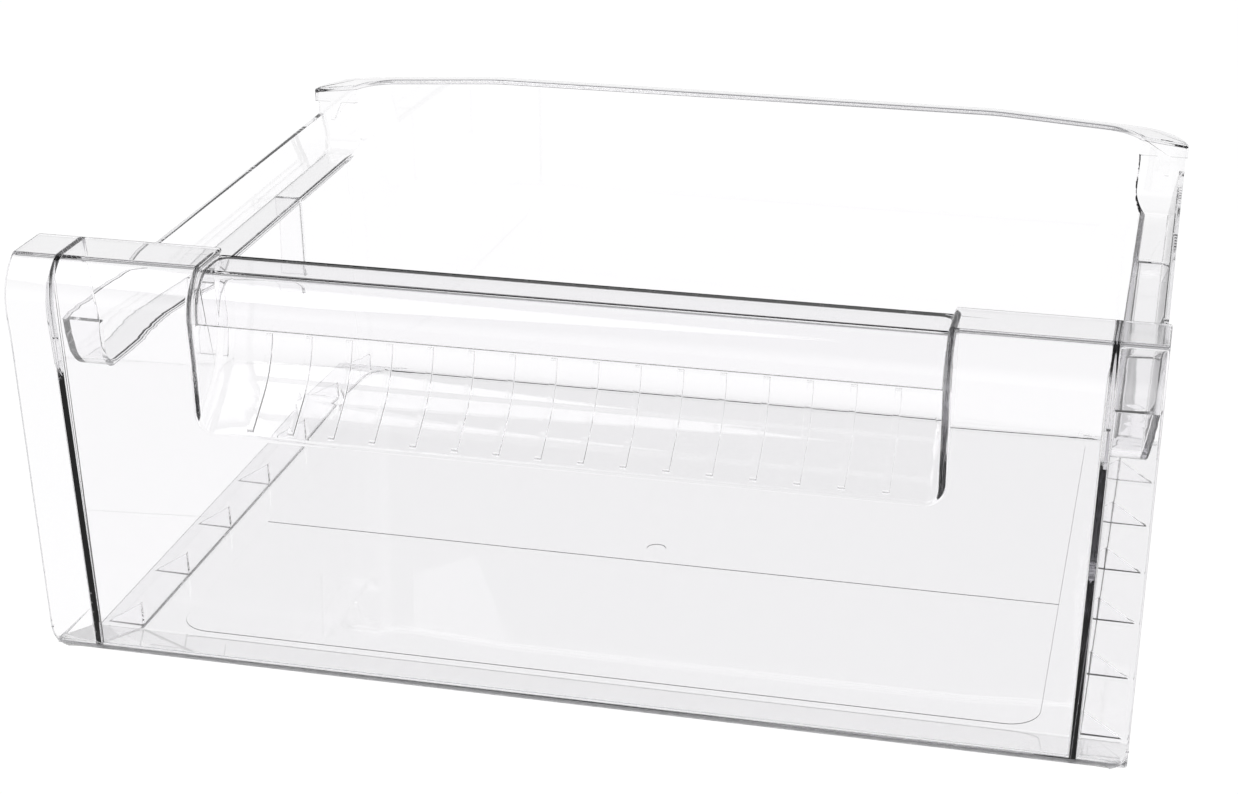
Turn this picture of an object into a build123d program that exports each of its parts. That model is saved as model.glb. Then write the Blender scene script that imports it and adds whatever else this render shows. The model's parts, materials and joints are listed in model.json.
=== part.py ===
"""Freezer drawer: one clear plastic moulding with a recessed finger handle across its front.

Millimetres. +X is right, +Y is the rear, +Z is up. The origin is under the middle of the
drawer, on the surface that it stands on. Sections are drawn from the line along the front of
the top flange: depths run back from it and drops run down from it.
"""

import os
from math import asin, atan2, cos, degrees, hypot, radians, sin, sqrt, tan

from build123d import *

# Overall envelope
overall_width = 460.0
overall_depth = 381.0
overall_height = 191.0
wall = 2.5

# Front panel: a flat top flange, a swelling under it and a face that leans back to the foot
flange_depth = 24.0
bulge = 12.0
bulge_drop = 20.0
swell_radius = 60.0
swell_angle = 8.0
blend_radius = 120.0
face_angle = 3.0
foot_radius = 3.5
wing_taper = 2.6
wing_corner_radius = 9.0

# Floor: a ramp falls from the foot of the front to the flat floor and its low pad
ramp_fall = 12.5
ramp_end = 40.0
ramp_radius = 8.0
pad_side_gap = 14.5
pad_front_gap = 3.0
pad_rear_gap = 4.0
pad_corner_radius = 14.0
pad_height = 0.25
seam_place = 156.0
seam_width = 0.8
gate_place = 171.0
gate_diameter = 9.0

# Tub walls, set in from the wings and drafted so that the drawer is wider at the top
wing_reach = 18.0
side_draft = 4.75
rear_draft = 4.0
rear_corner_radius = 24.0

# Side troughs: the walls step out to a low rim between the front cheek and the rear corner
ledge_drop = 60.5
rim_drop = 40.5
trough_inset = 2.0
trough_draft = 3.5
trough_front = 31.0
trough_rear_gap = 14.0
trough_radius = 9.0

# Rear rim: a crest that falls away to the corners, with a lipped shelf over each trough's end
crest_drop = 18.8
crest_end_inset = 98.0
shoulder_drop = 23.3
shoulder_inset = 26.0
corner_drop = 26.5
crest_radius = 150.0
rim_width = 6.0
rim_inset = 1.0
rim_corner_radius = 20.0
shelf_reach = 5.0
lip_drop = 33.0

# Stop lugs that hang from the shelves into the troughs
lug_inset = 7.5
lug_top_width = 6.0
lug_foot_width = 2.0
lug_height = 10.0

# Handle recess: a bar skin set back in the front, with a curved ribbed scoop behind it
recess_end_inset = 81.0
recess_corner_radius = 5.0
bar_top_inset = 3.0
bar_setback = 4.5
bar_crease = 4.0
bar_drop = 22.5
scoop_straight_drop = 24.0
scoop_back_radius = 60.0
scoop_back_turn = 10.0
scoop_radius = 36.0
scoop_turn = 43.0
rib_end_margin = 18.0
rib_pitch = 17.2
rib_width = 2.6
rib_height = 1.1
rib_foot_gap = 3.0

# Gussets on the runner flanges, and struts under the side ledges
gusset_first = 42.5
gusset_pitch = 52.0
gusset_rear_gap = 4.0
gusset_width = 17.0
gusset_height = 11.0
gusset_thickness = 1.8
strut_rear_gap = 85.0
strut_pitch = 115.0
strut_count = 2
strut_drop = 103.0
strut_inset = 1.5

# Places that follow from the driving dimensions
half_width = overall_width / 2
front_edge_y = -overall_depth / 2 + bulge
panel_drop = overall_height - ramp_fall
floor_drop = overall_height - wall
rear_outer = overall_depth - bulge
rear_wall_top = rear_outer - rim_width + wall
rear_wall_bottom = rear_wall_top - rear_draft
trough_rear = rear_outer - trough_rear_gap
trough_floor_drop = ledge_drop + wall
trough_lip = half_width - trough_inset
trough_foot = trough_lip - trough_draft
rim_side = half_width - rim_inset
shelf_front = trough_rear - shelf_reach
recess_half = half_width - recess_end_inset
scoop_depth = flange_depth - wall
beyond = 2 * flange_depth

# Local axes of a side section: depth behind the flange's front line, height above it
side_plane = Plane(origin=(0, front_edge_y, overall_height), x_dir=(0, 1, 0), z_dir=(1, 0, 0))


def cross_plane(depth):
    """A plane across the drawer at a depth: right along X, up along Z, facing the front."""
    origin = (0, front_edge_y + depth, overall_height)
    return Plane(origin=origin, x_dir=(1, 0, 0), z_dir=(0, -1, 0))


def plan_plane(drop):
    """A level plane at a drop below the top flange: right along X, depth along Y."""
    return Plane(origin=(0, front_edge_y, overall_height - drop))


def tub_half_width(drop):
    """Half the outer width of the drafted tub at a drop below the top flange."""
    return half_width - wing_reach - side_draft * drop / overall_height


def face_depth(drop):
    """Depth of the leaning front face at a drop, behind the flange's front line."""
    swell = radians(swell_angle)
    lean = radians(face_angle)
    start_depth = -bulge + swell_radius * (1 - cos(swell)) + blend_radius * (cos(lean) - cos(swell))
    start_drop = bulge_drop + swell_radius * sin(swell) + blend_radius * (sin(swell) - sin(lean))
    return start_depth + (drop - start_drop) * tan(lean)


def front_line():
    """Draws the outer side line: top flange, swelling, face, foot, ramp and floor."""
    Line((flange_depth, 0), (0, 0))
    fullest = (-bulge, -bulge_drop)
    TangentArc(fullest, (0, 0), tangent=(0, 1))
    swell = JernArc(fullest, (0, -1), swell_radius, swell_angle)
    blend = JernArc(swell @ 1, swell % 1, blend_radius, face_angle - swell_angle)
    foot_turn = 90 - face_angle
    foot_top = panel_drop - foot_radius * (1 - cos(radians(foot_turn)))
    face = Line(blend @ 1, (face_depth(foot_top), -foot_top))
    foot = JernArc(face @ 1, face % 1, foot_radius, foot_turn)
    ramp_run = ramp_end - (foot @ 1).X
    ramp_rise = 2 * ramp_radius - ramp_fall
    ramp_span = hypot(ramp_run, ramp_rise)
    ramp_turn = degrees(asin(2 * ramp_radius / ramp_span) - atan2(ramp_rise, ramp_run))
    ramp_length = sqrt(ramp_span**2 - (2 * ramp_radius) ** 2)
    fall = JernArc(foot @ 1, (1, 0), ramp_radius, -ramp_turn)
    slope = PolarLine(fall @ 1, ramp_length, direction=fall % 1)
    JernArc(slope @ 1, slope % 1, ramp_radius, ramp_turn)
    Line((ramp_end, -overall_height), (rear_wall_bottom, -overall_height))


def tub_plan(inset, drop):
    """The tub's plan at a drop, inset from its outer faces and square at the front."""
    side = tub_half_width(drop) - inset
    back = rear_wall_top - rear_draft * drop / overall_height - inset
    with BuildSketch(plan_plane(drop)) as plan:
        Polygon((-side, -beyond), (side, -beyond), (side, back), (-side, back), align=None)
        fillet(plan.vertices().group_by(Axis.Y)[-1], radius=rear_corner_radius - inset)
    return plan.sketch


def tub_solid(inset):
    """The drafted tub as a solid that runs on past the floor and the top flange."""
    bottom = tub_plan(inset, overall_height + beyond)
    top = tub_plan(inset, -beyond)
    return Solid.make_loft([bottom.face().outer_wire(), top.face().outer_wire()])


def crest_line():
    """Draws the rear rim's line across the drawer, from the left corner to the right."""
    corner = half_width
    shoulder = half_width - shoulder_inset
    crest = half_width - crest_end_inset
    FilletPolyline(
        (-corner, -corner_drop),
        (-shoulder, -shoulder_drop),
        (-crest, -crest_drop),
        (crest, -crest_drop),
        (shoulder, -shoulder_drop),
        (corner, -corner_drop),
        radius=crest_radius,
    )


def end_plate(depth, outer, foot_drop):
    """Adds the pair of upright plates that run forward from a depth, out from the tub walls."""
    with BuildSketch(cross_plane(depth)) as plate:
        Polygon(
            (corner_root, -foot_drop),
            (outer, -foot_drop),
            (outer, -crest_drop),
            (corner_root, -crest_drop),
            align=None,
        )
        mirror(about=Plane.YZ)
    extrude(plate.sketch, amount=wall)


def scoop_line(setback, length):
    """Draws the scoop's bend and the slope after it, set back from its face."""
    bend = CenterArc(scoop_centre, scoop_radius + setback, -scoop_back_turn, -scoop_turn)
    PolarLine(bend @ 1, length, direction=bend % 1)


def scoop_block(setback):
    """Adds the solid in front of the scoop, set back from its faces and out past the front."""
    side = recess_half + setback
    back = scoop_depth + setback
    with BuildSketch(side_plane) as region:
        with BuildLine() as outline:
            scoop_line(setback, beyond)
            back_bend = CenterArc(back_centre, scoop_back_radius + setback, 0, -scoop_back_turn)
            slope_end = outline.vertices().sort_by(Axis.X)[0]
            Polyline(back_bend @ 0, (back, flange_depth), (slope_end.X, flange_depth), slope_end)
        make_face()
    block = extrude(region.sketch, amount=side, both=True)
    ends = block.faces().filter_by(Axis.X)
    fillet(ends.edges().filter_by(GeomType.CIRCLE), radius=recess_corner_radius + setback)


# Troughs and end plates start inside the tub, past the curve of its rear corners
corner_root = tub_half_width(rim_drop) - rear_corner_radius

# The scoop drops straight behind the bar, bends forward in two arcs and slopes down to the face
back_turn = radians(scoop_back_turn)
full_turn = radians(scoop_back_turn + scoop_turn)
back_centre = (scoop_depth - scoop_back_radius, -scoop_straight_drop)
radius_change = scoop_back_radius - scoop_radius
scoop_centre = (
    back_centre[0] + radius_change * cos(back_turn),
    back_centre[1] - radius_change * sin(back_turn),
)
bend_end_depth = scoop_centre[0] + scoop_radius * cos(full_turn)
bend_end_drop = scoop_radius * sin(full_turn) - scoop_centre[1]
slope_run = bend_end_depth - face_depth(bend_end_drop)
slope_length = slope_run / (sin(full_turn) + cos(full_turn) * tan(radians(face_angle)))

# Side section of the sheet that runs from the top flange down the front and along the floor
with BuildSketch(side_plane) as sheet_section:
    with BuildLine():
        front_line()
        offset(amount=wall, side=Side.LEFT)
    make_face()

# Side section of everything that lies behind the outer skin
with BuildSketch(side_plane) as inside_section:
    with BuildLine():
        front_line()
        Polyline(
            (rear_wall_bottom, -overall_height),
            (rear_outer, -overall_height),
            (rear_outer, 0),
            (flange_depth, 0),
        )
    make_face()

# Drafted tub walls and trough ends, trimmed by the front skin and cut down to the rims
with BuildPart() as tub_walls:
    add(tub_solid(0))
    extrude(inside_section.sketch, amount=half_width, both=True, mode=Mode.INTERSECT)
    with BuildSketch(side_plane):
        Polygon(
            (flange_depth, 0),
            (trough_front, -rim_drop),
            (trough_rear - wall, -rim_drop),
            (trough_rear - wall, flange_depth),
            (flange_depth, flange_depth),
            align=None,
        )
    extrude(amount=half_width, both=True, mode=Mode.SUBTRACT)
    end_plate(trough_rear, trough_lip, rim_drop + wall)
    end_plate(shelf_front + wall, rim_side, lip_drop)
    add(tub_solid(wall), mode=Mode.SUBTRACT)
    with BuildSketch(cross_plane(shelf_front)):
        with BuildLine():
            crest_line()
            Polyline(
                (half_width, -corner_drop),
                (half_width, flange_depth),
                (-half_width, flange_depth),
                (-half_width, -corner_drop),
            )
        make_face()
    extrude(amount=-beyond, mode=Mode.SUBTRACT)

# Rim that turns outwards along the crest of the rear wall and widens into the corner shelves
with BuildPart() as rear_rim:
    with BuildSketch(cross_plane(shelf_front)):
        with BuildLine():
            crest_line()
            offset(amount=wall, side=Side.RIGHT)
        make_face()
    extrude(amount=-beyond)
    with BuildSketch(plan_plane(0)) as rim_plan:
        Polygon(
            (-rim_side, 0),
            (rim_side, 0),
            (rim_side, rear_outer),
            (-rim_side, rear_outer),
            align=None,
        )
        fillet(rim_plan.vertices().group_by(Axis.Y)[-1], radius=rim_corner_radius)
    extrude(amount=-2 * corner_drop, mode=Mode.INTERSECT)
    extrude(tub_plan(wall, 0), amount=-2 * corner_drop, mode=Mode.SUBTRACT)

# Right-hand trough: its outer block, and the space in it that also opens the tub wall
with BuildPart() as trough:
    with BuildSketch(cross_plane(trough_front)):
        Polygon(
            (corner_root, -trough_floor_drop),
            (trough_foot, -trough_floor_drop),
            (trough_lip, -rim_drop),
            (corner_root, -rim_drop),
            align=None,
        )
    extrude(amount=trough_front - trough_rear)
    trough_ends = trough.edges().filter_by(Axis.X).group_by(Axis.Z)[0]
    fillet(trough_ends, radius=trough_radius + wall)
    add(tub_solid(wall), mode=Mode.SUBTRACT)

with BuildPart() as trough_space:
    with BuildSketch(cross_plane(trough_front + wall)):
        Polygon(
            (corner_root, -ledge_drop),
            (trough_foot - wall, -ledge_drop),
            (trough_lip - wall, -rim_drop),
            (corner_root, -rim_drop),
            align=None,
        )
    extrude(amount=trough_front - trough_rear + 2 * wall)
    space_ends = trough_space.edges().filter_by(Axis.X).group_by(Axis.Z)[0]
    fillet(space_ends, radius=trough_radius)

# Handle recess: its block with cheeks and scoop wall, the space in it, and the bar across it
with BuildPart() as recess:
    scoop_block(wall)
    extrude(inside_section.sketch, amount=half_width, both=True, mode=Mode.INTERSECT)

with BuildPart() as recess_space:
    scoop_block(0)
    with BuildSketch(side_plane):
        Polygon(
            (-beyond, -bar_top_inset),
            (beyond, -bar_top_inset),
            (beyond, flange_depth),
            (-beyond, flange_depth),
            align=None,
        )
    extrude(amount=recess_half, both=True)

bar_front = bar_setback - bulge
with BuildPart() as bar:
    with BuildSketch(side_plane):
        with BuildLine():
            Line((scoop_depth + wall, -bar_top_inset), (bar_crease, -bar_top_inset))
            TangentArc((bar_front, -bulge_drop), (bar_crease, -bar_top_inset), tangent=(0, 1))
            Line((bar_front, -bulge_drop), (bar_front, -bar_drop))
            offset(amount=wall, side=Side.LEFT)
        make_face()
    extrude(amount=recess_half + wall / 2, both=True)

# Low ribs that follow the scoop's bend and slope, as many as fit between the cheeks
rib_count = int(2 * (recess_half - rib_end_margin) / rib_pitch) + 1
with BuildPart() as scoop_ribs:
    with BuildSketch(side_plane):
        with BuildLine():
            scoop_line(wall / 2, slope_length - rib_foot_gap)
            offset(amount=wall / 2 + rib_height, side=Side.RIGHT)
        make_face()
    one_rib = extrude(amount=rib_width / 2, both=True, mode=Mode.PRIVATE)
    with GridLocations(rib_pitch, 0, rib_count, 1):
        add(one_rib)

# Right-hand struts, gussets and stop lug
gusset_count = int((rear_wall_bottom - gusset_rear_gap - gusset_first) / gusset_pitch) + 1
gusset_root = tub_half_width(floor_drop)
lug_outer = trough_lip - lug_inset
with BuildPart() as side_details:
    for index in range(strut_count):
        with BuildSketch(cross_plane(trough_rear - strut_rear_gap - index * strut_pitch)):
            Polygon(
                (tub_half_width(ledge_drop) - wall / 2, -ledge_drop - wall / 2),
                (tub_half_width(strut_drop) - wall / 2, -strut_drop),
                (trough_foot - strut_inset, -strut_drop),
                (trough_foot - strut_inset, -ledge_drop - wall / 2),
                align=None,
            )
        extrude(amount=wall / 2, both=True)
    for index in range(gusset_count):
        with BuildSketch(cross_plane(gusset_first + index * gusset_pitch)):
            Polygon(
                (gusset_root - wall / 2, -floor_drop - wall / 2),
                (gusset_root + gusset_width, -floor_drop - wall / 2),
                (gusset_root + gusset_width, -floor_drop),
                (gusset_root, -floor_drop + gusset_height),
                (gusset_root - wall / 2, -floor_drop + gusset_height),
                align=None,
            )
        extrude(amount=gusset_thickness / 2, both=True)
    with BuildSketch(cross_plane(trough_rear - wall / 2)):
        lug_top = -lip_drop + wall
        Polygon(
            (lug_outer, lug_top),
            (lug_outer - lug_top_width, lug_top),
            (lug_outer - lug_top_width, -lip_drop),
            (lug_outer - lug_foot_width, -lip_drop - lug_height),
            (lug_outer, -lip_drop - lug_height),
            align=None,
        )
    extrude(amount=shelf_reach - wall / 2)

# Low pad in the middle of the floor, in two fields, with the mark of the moulding gate
pad_width = 2 * (tub_half_width(floor_drop) - wall - pad_side_gap)
pad_front = ramp_end + pad_front_gap
pad_rear = rear_wall_bottom - wall - pad_rear_gap
with BuildPart() as floor_pad:
    with BuildSketch(plan_plane(floor_drop + wall / 2)):
        with Locations((0, (pad_front + pad_rear) / 2)):
            RectangleRounded(pad_width, pad_rear - pad_front, pad_corner_radius)
        with Locations((0, seam_place)):
            Rectangle(pad_width, seam_width, mode=Mode.SUBTRACT)
        with Locations((0, gate_place)):
            Circle(gate_diameter / 2, mode=Mode.SUBTRACT)
    extrude(amount=wall / 2 + pad_height)

# What is cut off the sheet's right side: the taper of the wing, and its rounded bottom corner
wing_foot = half_width - wing_taper * panel_drop / overall_height
with BuildPart() as wing_trim:
    with BuildSketch(cross_plane(-beyond)):
        Polygon(
            (half_width, 0),
            (half_width - wing_taper, -overall_height),
            (half_width + wing_taper, -overall_height),
            (half_width + wing_taper, 0),
            align=None,
        )
    extrude(amount=-2 * overall_depth)
    with BuildSketch(cross_plane(-beyond)):
        with Locations((wing_foot - wing_corner_radius, -panel_drop)):
            Rectangle(2 * wing_corner_radius, wing_corner_radius, align=(Align.MIN, Align.MIN))
        with Locations((wing_foot - wing_corner_radius, -panel_drop + wing_corner_radius)):
            Circle(wing_corner_radius, mode=Mode.SUBTRACT)
    extrude(amount=-beyond - wall)

# The whole moulding
with BuildPart() as freezer_drawer:
    extrude(sheet_section.sketch, amount=half_width, both=True)
    add(wing_trim.part, mode=Mode.SUBTRACT)
    mirror(wing_trim.part, about=Plane.YZ, mode=Mode.SUBTRACT)
    add(tub_walls.part)
    add(rear_rim.part)
    add(trough.part)
    mirror(trough.part, about=Plane.YZ)
    add(trough_space.part, mode=Mode.SUBTRACT)
    mirror(trough_space.part, about=Plane.YZ, mode=Mode.SUBTRACT)
    add(side_details.part)
    mirror(side_details.part, about=Plane.YZ)
    add(recess.part)
    add(recess_space.part, mode=Mode.SUBTRACT)
    add(bar.part)
    add(scoop_ribs.part)
    add(floor_pad.part)

os.makedirs("parts", exist_ok=True)
freezer_drawer.part.label = "freezer_drawer"
export_step(freezer_drawer.part, "parts/freezer_drawer.step")
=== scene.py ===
"""Looks of the clear freezer drawer: its moulded surface, its plastic, a white sweep and soft light.

Metres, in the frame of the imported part: +X right, +Y to the rear, +Z up from the floor.
"""

import json
import math

import bmesh
import bpy
from mathutils import Matrix, Vector

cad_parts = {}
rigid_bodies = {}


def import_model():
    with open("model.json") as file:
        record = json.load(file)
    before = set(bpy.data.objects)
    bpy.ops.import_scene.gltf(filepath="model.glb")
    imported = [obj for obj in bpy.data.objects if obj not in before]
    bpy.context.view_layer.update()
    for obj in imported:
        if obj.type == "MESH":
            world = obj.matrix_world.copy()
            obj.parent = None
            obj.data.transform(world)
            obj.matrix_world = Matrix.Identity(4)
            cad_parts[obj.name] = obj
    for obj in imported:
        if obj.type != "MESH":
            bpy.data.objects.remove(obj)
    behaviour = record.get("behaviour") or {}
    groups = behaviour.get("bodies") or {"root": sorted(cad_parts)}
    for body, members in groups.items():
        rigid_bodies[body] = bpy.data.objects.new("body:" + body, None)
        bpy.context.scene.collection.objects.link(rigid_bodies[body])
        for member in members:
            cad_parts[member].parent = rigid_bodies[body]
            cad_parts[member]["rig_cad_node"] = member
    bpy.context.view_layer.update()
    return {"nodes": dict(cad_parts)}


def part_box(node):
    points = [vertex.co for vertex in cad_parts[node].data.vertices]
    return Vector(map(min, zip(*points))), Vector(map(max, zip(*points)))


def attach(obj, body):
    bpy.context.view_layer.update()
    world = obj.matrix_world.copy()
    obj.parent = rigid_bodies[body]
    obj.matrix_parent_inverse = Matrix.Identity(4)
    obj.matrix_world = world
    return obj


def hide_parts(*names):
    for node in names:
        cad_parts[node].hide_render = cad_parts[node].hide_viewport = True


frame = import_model()

# Sizes of the moulding, as its solid has them
WALL = 0.0025
BULGE = 0.012
FLANGE_DEPTH = 0.024
WING_REACH = 0.018
RECESS_INSET = 0.081
BAR_DROP = 0.0225
RIM_DROP = 0.0405
LEDGE_DROP = 0.0605
TROUGH_GAP = 0.007
RAMP_REACH = 0.040
GUSSET_HEIGHT = 0.011

# Limits of the zones, each a little past the form that the zone holds
ROOM = 0.001
BAR_ROOM = 0.002
BAR_EDGE_REACH = 0.004
BAR_EDGE_DROP = 0.008
BAR_LIP_REACH = 0.009
RECESS_END_REACH = 0.009
CHEEK_REACH = 0.0045
RIB_END_GAP = 0.014
RIB_TOP_DROP = 0.031
RIB_FOOT_DROP = 0.073
TROUGH_INSET = 0.008
TROUGH_REAR_GAP = 0.016
TROUGH_FOOT_INSET = 0.0085
LUG_INSET = 0.012
LUG_REACH = 0.0255
LUG_TOP_DROP = 0.0285
LUG_FOOT_DROP = 0.045
STRUT_INSET = 0.007
STRUT_DROP = 0.106
STRUT_REAR_GAP = 0.070
STRUT_ROW = 0.170
GUSSET_INSET = 0.0051
RAMP_HEIGHT = 0.0165
FOOT_ROOM = 0.0015
PAD_INSET = 0.014
PAD_REAR_GAP = 0.012
PAD_ROOM = 0.0007

# Places on the drawer, from its box in the frame
lowest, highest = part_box("freezer_drawer")
FRONT = lowest.y
REAR = highest.y
SIDE = highest.x
TOP = highest.z
CREASE = FRONT + BULGE
FLANGE_REAR = CREASE + FLANGE_DEPTH
TROUGH_FRONT = FLANGE_REAR + TROUGH_GAP
RAMP_END = CREASE + RAMP_REACH
STRUT_REAR = REAR - STRUT_REAR_GAP
TUB_SIDE = SIDE - WING_REACH
RECESS_HALF = SIDE - RECESS_INSET
BAR_LEVEL = TOP - BAR_DROP
RIM_LEVEL = TOP - RIM_DROP
LEDGE_LEVEL = TOP - LEDGE_DROP

# Zones of the moulding, as lowest and highest corner; X counts outwards from the middle plane
CREASE_ZONE = (0, FRONT, TOP - BULGE), (SIDE, FLANGE_REAR - BAR_EDGE_REACH, TOP)
BAR_ZONE = (
    (0, FLANGE_REAR - BAR_EDGE_REACH, TOP - BAR_EDGE_DROP),
    (RECESS_HALF - BAR_ROOM, FLANGE_REAR + BAR_ROOM, TOP),
)
BAR_LIP_ZONE = (
    (0, FRONT, BAR_LEVEL - BAR_ROOM),
    (RECESS_HALF, FRONT + BAR_LIP_REACH, BAR_LEVEL + BAR_ROOM),
)
RIB_ZONE = (
    (0, FRONT, TOP - RIB_FOOT_DROP),
    (RECESS_HALF - RIB_END_GAP, FLANGE_REAR, TOP - RIB_TOP_DROP),
)
CHEEK_ZONE = (RECESS_HALF - RECESS_END_REACH, FRONT, 0), (SIDE, FLANGE_REAR + CHEEK_REACH, TOP)
TROUGH_RIM_ZONE = (
    (TUB_SIDE - TROUGH_INSET, TROUGH_FRONT - ROOM, RIM_LEVEL - ROOM),
    (SIDE, REAR - TROUGH_REAR_GAP, RIM_LEVEL + ROOM),
)
LUG_ZONE = (
    (TUB_SIDE - LUG_INSET, REAR - LUG_REACH, TOP - LUG_FOOT_DROP),
    (SIDE, REAR, TOP - LUG_TOP_DROP),
)
STRUT_ZONE = (
    (TUB_SIDE - STRUT_INSET, STRUT_REAR - STRUT_ROW, TOP - STRUT_DROP),
    (TUB_SIDE + ROOM, STRUT_REAR, LEDGE_LEVEL + ROOM),
)
GUSSET_ZONE = (TUB_SIDE - GUSSET_INSET, FRONT, 0), (SIDE, REAR, WALL + GUSSET_HEIGHT + ROOM)
PAD_ZONE = (
    (0, RAMP_END, WALL - PAD_ROOM),
    (TUB_SIDE - PAD_INSET, REAR - PAD_REAR_GAP, WALL + PAD_ROOM),
)
RAMP_ZONE = (0, FRONT, 0), (SIDE, RAMP_END + FOOT_ROOM, RAMP_HEIGHT)
REAR_FOOT_ZONE = (0, REAR - PAD_REAR_GAP, 0), (SIDE, REAR, WALL + FOOT_ROOM)
TROUGH_FOOT_ZONE = (
    (SIDE - TROUGH_FOOT_INSET, TROUGH_FRONT, LEDGE_LEVEL - WALL),
    (SIDE, REAR, LEDGE_LEVEL),
)
FOOT_ZONES = RAMP_ZONE, REAR_FOOT_ZONE, TROUGH_FOOT_ZONE

# Moulding radii: the fullest one, and the shares of it that the edges get
FULL_RADIUS = 0.001
FREE_EDGE_SHARE = 1.0
CREASE_SHARE = 1.0
ROOT_SHARE = 0.45
CHEEK_SHARE = 0.9
GUSSET_SHARE = 0.35
STRUT_SHARE = 1.6
RIB_SHARE = 0.22
RIB_END_SHARE = 0.8
LUG_SHARE = 0.12
BAR_SHARE = 0.4
TROUGH_RIM_SHARE = 0.15
PAD_SHARE = 0.1
ROUND_STEPS = 3
EDGE_ANGLE = math.radians(38)
CREASE_ANGLE = math.radians(20)
SHARP_ANGLE = math.radians(32)
FLAT_ANGLE = math.radians(0.2)
MERGE_DISTANCE = 1e-6
CORNER_WEIGHT = 50

# Shares of a unit step: an edge along an axis, one across it, and the normal of a level face
ALONG = 0.9
ACROSS = 0.5
LEVEL = 0.98

# Plastic
PLASTIC_TINT = (0.997, 0.994, 1.0, 1)
PLASTIC_IOR = 1.52
SATIN_ROUGHNESS = 0.5
HAZE_ROUGHNESS = 0.03
HAZE_SCALE = 14.0
HAZE_FROM = 0.62
HAZE_FULL = 0.78
RIPPLE_SCALE = 9.0
RIPPLE_HEIGHT = 0.0002
RIPPLE_STRENGTH = 0.08
ABSORB_COLOUR = (0.61, 0.60, 0.63, 1)
ABSORB_DENSITY = 7.0
SHADOW_TINT = (0.96, 0.965, 0.97, 1)

# Studio
FLOOR_SIZE = 12.0
FLOOR_DROP = 0.0005
FLOOR_SHADE = (0.08, 0.08, 0.08, 1)
FLOOR_GLOW = 0.98
MIRRORED_GLOW = 0.45
WHITE = (1, 1, 1, 1)
OVERHEAD = (0.3, 0.3, 0.31, 1)
HORIZON_TOP = 0.15
OVERHEAD_FROM = 0.5
LAMP_AIM = Vector((0, 0, 0.08))
LAMP_SIZE = 1.2
KEY_PLACE = Vector((-0.9, -1.0, 1.6))
KEY_POWER = 9.0
FILL_PLACE = Vector((1.3, -0.4, 1.4))
FILL_POWER = 5.0
LIGHT_BOUNCES = 18

# Camera
CAMERA_PLACE = Vector((0.2325, -1.05, 0.522))
CAMERA_RIGHT = Vector((0.97235, 0.2336, -0.00124))
CAMERA_FORWARD = Vector((-0.21625, 0.89834, -0.38234))
CAMERA_LENS = 72.465
CAMERA_REACH = 50.0


def deselect():
    """Leaves nothing selected, in object mode."""
    bpy.ops.object.select_all(action="DESELECT")


def in_zone(points, zone):
    """Whether all points lie in a zone or in its mirror image."""
    low, high = zone
    for point in points:
        place = (abs(point.x), point.y, point.z)
        if not all(a <= b <= c for a, b, c in zip(low, place, high)):
            return False
    return True


def rounding_share(edge):
    """How much of the full radius an edge of the moulding gets, by its turn and its place."""
    turn = edge.calc_face_angle_signed(0.0)
    ends = [vert.co for vert in edge.verts]
    run = (ends[1] - ends[0]).normalized()
    sideways = abs(run.x) > ALONG
    if abs(turn) < EDGE_ANGLE:
        on_crease = abs(turn) > CREASE_ANGLE and sideways and in_zone(ends, CREASE_ZONE)
        return CREASE_SHARE if on_crease else 0.0
    if in_zone(ends, PAD_ZONE):
        return PAD_SHARE
    if in_zone(ends, RIB_ZONE):
        return RIB_END_SHARE if sideways else RIB_SHARE
    if in_zone(ends, LUG_ZONE):
        return LUG_SHARE
    if in_zone(ends, BAR_ZONE) or in_zone(ends, BAR_LIP_ZONE):
        return BAR_SHARE
    if in_zone(ends, TROUGH_RIM_ZONE):
        return TROUGH_RIM_SHARE
    if in_zone(ends, GUSSET_ZONE) and abs(run.y) < ACROSS:
        return GUSSET_SHARE
    if turn > 0:
        return FREE_EDGE_SHARE
    if in_zone(ends, STRUT_ZONE) and abs(run.z) > ALONG:
        return STRUT_SHARE
    return CHEEK_SHARE if in_zone(ends, CHEEK_ZONE) and abs(run.y) < ACROSS else ROOT_SHARE


def copied_solid():
    """Copies the drawer's solid and welds its triangles to clean faces."""
    deselect()
    node = frame["nodes"]["freezer_drawer"]
    node.select_set(True)
    bpy.context.view_layer.objects.active = node
    bpy.ops.object.duplicate()
    drawer = bpy.context.object
    drawer.name = "clear_drawer"
    del drawer["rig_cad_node"]
    drawer.data.materials.clear()
    bpy.ops.object.mode_set(mode="EDIT")
    bpy.ops.mesh.select_all(action="SELECT")
    bpy.ops.mesh.customdata_custom_splitnormals_clear()
    bpy.ops.mesh.remove_doubles(threshold=MERGE_DISTANCE)
    bpy.ops.mesh.dissolve_limited(angle_limit=FLAT_ANGLE)
    bpy.ops.object.mode_set(mode="OBJECT")
    return drawer


def round_edges(drawer):
    """Gives the edges their moulding radii."""
    bpy.ops.object.mode_set(mode="EDIT")
    form = bmesh.from_edit_mesh(drawer.data)
    weight = form.edges.layers.float.new("bevel_weight_edge")
    for edge in form.edges:
        edge[weight] = rounding_share(edge)
    bmesh.update_edit_mesh(drawer.data)
    bpy.ops.object.mode_set(mode="OBJECT")
    rounding = drawer.modifiers.new("rounding", "BEVEL")
    rounding.width = FULL_RADIUS
    rounding.segments = ROUND_STEPS
    rounding.limit_method = "WEIGHT"
    rounding.use_clamp_overlap = False
    bpy.ops.object.modifier_apply(modifier="rounding")


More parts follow.
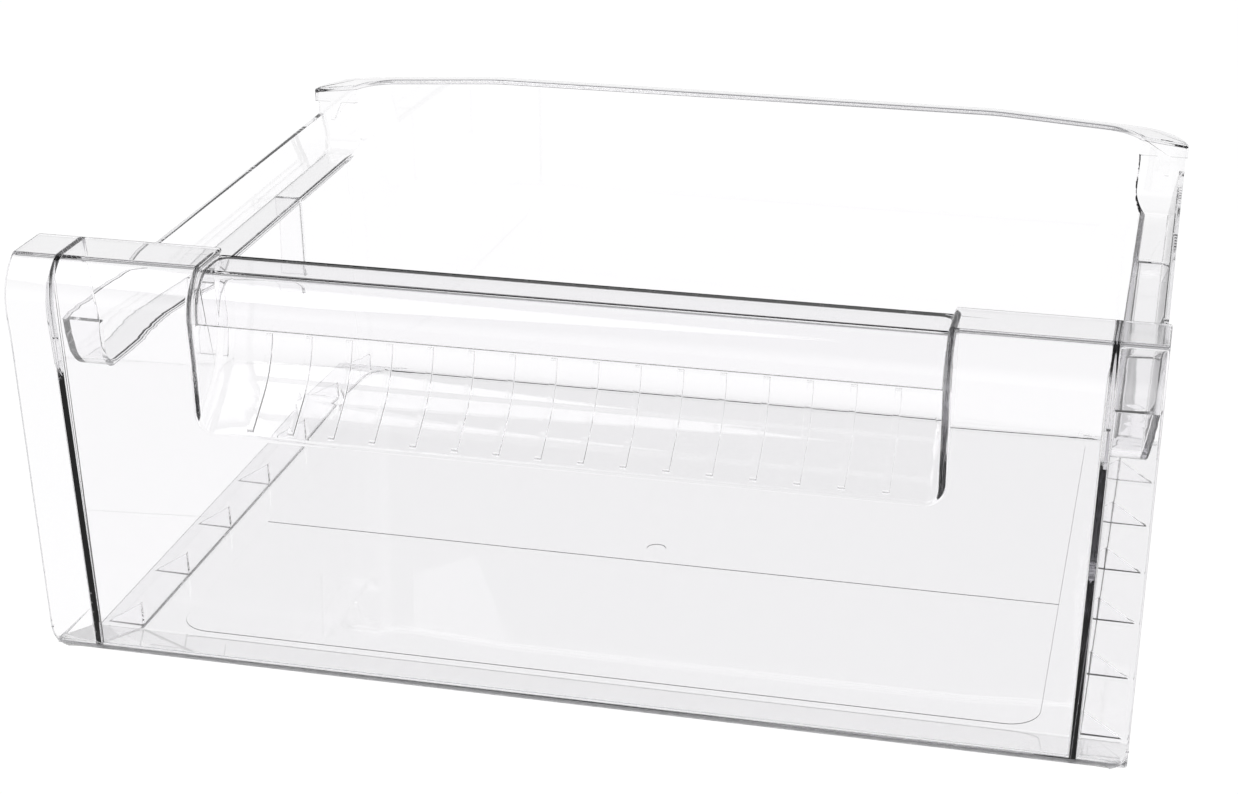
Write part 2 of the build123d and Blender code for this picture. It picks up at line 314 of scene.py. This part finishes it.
def mark_satin(drawer):
    """Marks what the tool leaves satin: the undersides along the feet, and the pad's steps."""
    satin = drawer.data.attributes.new("satin", "FLOAT", "FACE")
    for face in drawer.data.polygons:
        place = [face.center]
        under_foot = face.normal.z < 0 and any(in_zone(place, zone) for zone in FOOT_ZONES)
        on_step = abs(face.normal.z) < LEVEL and in_zone(place, PAD_ZONE)
        satin.data[face.index].value = float(under_foot or on_step)


def smooth_surface(drawer):
    """Shades the rounded edges smoothly into flat faces."""
    bpy.ops.object.shade_smooth_by_angle(angle=SHARP_ANGLE)
    normals = drawer.modifiers.new("normals", "WEIGHTED_NORMAL")
    normals.keep_sharp = True
    normals.weight = CORNER_WEIGHT
    bpy.ops.object.modifier_apply(modifier="normals")


def cloud_noise(nodes, links, coords, scale):
    """Smooth clouds that stay in place on the drawer."""
    clouds = nodes.new("ShaderNodeTexNoise")
    clouds.inputs["Scale"].default_value = scale
    clouds.inputs["Detail"].default_value = 0.0
    links.new(coords.outputs["Object"], clouds.inputs["Vector"])
    return clouds.outputs["Fac"]


def plastic_roughness(nodes, links, coords):
    """Gloss with clouds of faint haze, and satin where the surface is marked so."""
    haze = nodes.new("ShaderNodeMapRange")
    haze.inputs["From Min"].default_value = HAZE_FROM
    haze.inputs["From Max"].default_value = HAZE_FULL
    haze.inputs["To Max"].default_value = HAZE_ROUGHNESS
    satin = nodes.new("ShaderNodeAttribute")
    satin.attribute_name = "satin"
    dull = nodes.new("ShaderNodeMath")
    dull.operation = "MULTIPLY_ADD"
    dull.inputs[1].default_value = SATIN_ROUGHNESS
    links.new(cloud_noise(nodes, links, coords, HAZE_SCALE), haze.inputs["Value"])
    links.new(satin.outputs["Fac"], dull.inputs[0])
    links.new(haze.outputs["Result"], dull.inputs[2])
    return dull.outputs["Value"]


def moulding_ripple(nodes, links, coords):
    """The slow waves that the flow of the plastic leaves in its faces."""
    bump = nodes.new("ShaderNodeBump")
    bump.inputs["Strength"].default_value = RIPPLE_STRENGTH
    bump.inputs["Distance"].default_value = RIPPLE_HEIGHT
    links.new(cloud_noise(nodes, links, coords, RIPPLE_SCALE), bump.inputs["Height"])
    return bump.outputs["Normal"]


def clear_plastic():
    """Clear styrene that takes a little light on long ways through it."""
    material = bpy.data.materials.new("clear_plastic")
    material.use_nodes = True
    nodes, links = material.node_tree.nodes, material.node_tree.links
    plastic = nodes["Principled BSDF"]
    output = nodes["Material Output"]
    plastic.inputs["Base Color"].default_value = PLASTIC_TINT
    plastic.inputs["IOR"].default_value = PLASTIC_IOR
    plastic.inputs["Transmission Weight"].default_value = 1.0
    coords = nodes.new("ShaderNodeTexCoord")
    links.new(plastic_roughness(nodes, links, coords), plastic.inputs["Roughness"])
    links.new(moulding_ripple(nodes, links, coords), plastic.inputs["Normal"])

    # Shadow rays pass straight through, so that the floor under the drawer stays light
    shadow = nodes.new("ShaderNodeBsdfTransparent")
    shadow.inputs["Color"].default_value = SHADOW_TINT
    path = nodes.new("ShaderNodeLightPath")
    mix = nodes.new("ShaderNodeMixShader")
    links.new(path.outputs["Is Shadow Ray"], mix.inputs["Fac"])
    links.new(plastic.outputs["BSDF"], mix.inputs[1])
    links.new(shadow.outputs["BSDF"], mix.inputs[2])
    links.new(mix.outputs["Shader"], output.inputs["Surface"])

    absorb = nodes.new("ShaderNodeVolumeAbsorption")
    absorb.inputs["Color"].default_value = ABSORB_COLOUR
    absorb.inputs["Density"].default_value = ABSORB_DENSITY
    links.new(absorb.outputs["Volume"], output.inputs["Volume"])
    return material


def math_node(nodes, links, operation, first, second):
    """A Math node of two inputs, each a socket or a number."""
    node = nodes.new("ShaderNodeMath")
    node.operation = operation
    for socket, value in zip(node.inputs, (first, second)):
        if isinstance(value, (int, float)):
            socket.default_value = value
        else:
            links.new(value, socket)
    return node.outputs["Value"]


def white_sweep():
    """A pale floor that looks white straight on and through the plastic, and takes the shadow."""
    material = bpy.data.materials.new("white_sweep")
    material.use_nodes = True
    nodes, links = material.node_tree.nodes, material.node_tree.links
    paper = nodes["Principled BSDF"]
    paper.inputs["Base Color"].default_value = FLOOR_SHADE
    paper.inputs["Roughness"].default_value = 1.0
    paper.inputs["Specular IOR Level"].default_value = 0.0
    glow = nodes.new("ShaderNodeEmission")
    path = nodes.new("ShaderNodeLightPath").outputs
    mirrored = math_node(nodes, links, "MULTIPLY", path["Is Glossy Ray"], MIRRORED_GLOW)
    direct = math_node(nodes, links, "MAXIMUM", path["Is Camera Ray"], path["Is Transmission Ray"])
    seen = math_node(nodes, links, "MAXIMUM", direct, mirrored)
    strength = math_node(nodes, links, "MULTIPLY", seen, FLOOR_GLOW)
    add = nodes.new("ShaderNodeAddShader")
    links.new(strength, glow.inputs["Strength"])
    links.new(paper.outputs["BSDF"], add.inputs[0])
    links.new(glow.outputs["Emission"], add.inputs[1])
    links.new(add.outputs["Shader"], nodes["Material Output"].inputs["Surface"])
    return material


def studio_floor():
    """A large floor just under the drawer."""
    deselect()
    bpy.ops.mesh.primitive_plane_add(size=FLOOR_SIZE, location=(0, 0, -FLOOR_DROP))
    floor = bpy.context.object
    floor.name = "floor"
    floor.data.materials.append(white_sweep())


def studio_world():
    """White round the horizon, as a sweep gives, and grey overhead between the lamps."""
    world = bpy.data.worlds.new("studio")
    bpy.context.scene.world = world
    world.use_nodes = True
    nodes, links = world.node_tree.nodes, world.node_tree.links
    coords = nodes.new("ShaderNodeTexCoord")
    split = nodes.new("ShaderNodeSeparateXYZ")
    ramp = nodes.new("ShaderNodeValToRGB")
    horizon, overhead = ramp.color_ramp.elements
    horizon.position = HORIZON_TOP
    horizon.color = WHITE
    overhead.position = OVERHEAD_FROM
    overhead.color = OVERHEAD
    path = nodes.new("ShaderNodeLightPath")
    mix = nodes.new("ShaderNodeMix")
    mix.data_type = "RGBA"
    mix.inputs["B"].default_value = WHITE
    links.new(coords.outputs["Generated"], split.inputs["Vector"])
    links.new(split.outputs["Z"], ramp.inputs["Fac"])
    links.new(path.outputs["Is Camera Ray"], mix.inputs["Factor"])
    links.new(ramp.outputs["Color"], mix.inputs["A"])
    links.new(mix.outputs["Result"], nodes["Background"].inputs["Color"])


def soft_lamp(name, place, power):
    """A square soft lamp that looks at the drawer's middle."""
    data = bpy.data.lights.new(name, "AREA")
    data.size = LAMP_SIZE
    data.energy = power
    lamp = bpy.data.objects.new(name, data)
    bpy.context.scene.collection.objects.link(lamp)
    lamp.location = place
    lamp.rotation_euler = (LAMP_AIM - place).to_track_quat("-Z", "Y").to_euler()


def photo_camera():
    """The camera at the photograph's place and angle."""
    data = bpy.data.cameras.new("camera")
    data.lens = CAMERA_LENS
    data.clip_end = CAMERA_REACH
    camera = bpy.data.objects.new("camera", data)
    bpy.context.scene.collection.objects.link(camera)
    forward = CAMERA_FORWARD.normalized()
    up = CAMERA_RIGHT.cross(forward).normalized()
    right = forward.cross(up)
    turn = Matrix((right, up, -forward)).transposed().to_4x4()
    camera.matrix_world = Matrix.Translation(CAMERA_PLACE) @ turn
    bpy.context.scene.camera = camera


drawer = copied_solid()
round_edges(drawer)
mark_satin(drawer)
smooth_surface(drawer)
drawer.data.materials.append(clear_plastic())
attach(drawer, "root")
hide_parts("freezer_drawer")

studio_floor()
studio_world()
soft_lamp("key", KEY_PLACE, KEY_POWER)
soft_lamp("fill", FILL_PLACE, FILL_POWER)
photo_camera()

# Light that is caught in the walls needs many turns before it gets out again
scene = bpy.context.scene
scene.view_settings.view_transform = "Standard"
scene.cycles.max_bounces = LIGHT_BOUNCES
scene.cycles.glossy_bounces = LIGHT_BOUNCES
scene.cycles.transmission_bounces = LIGHT_BOUNCES
scene.cycles.transparent_max_bounces = LIGHT_BOUNCES
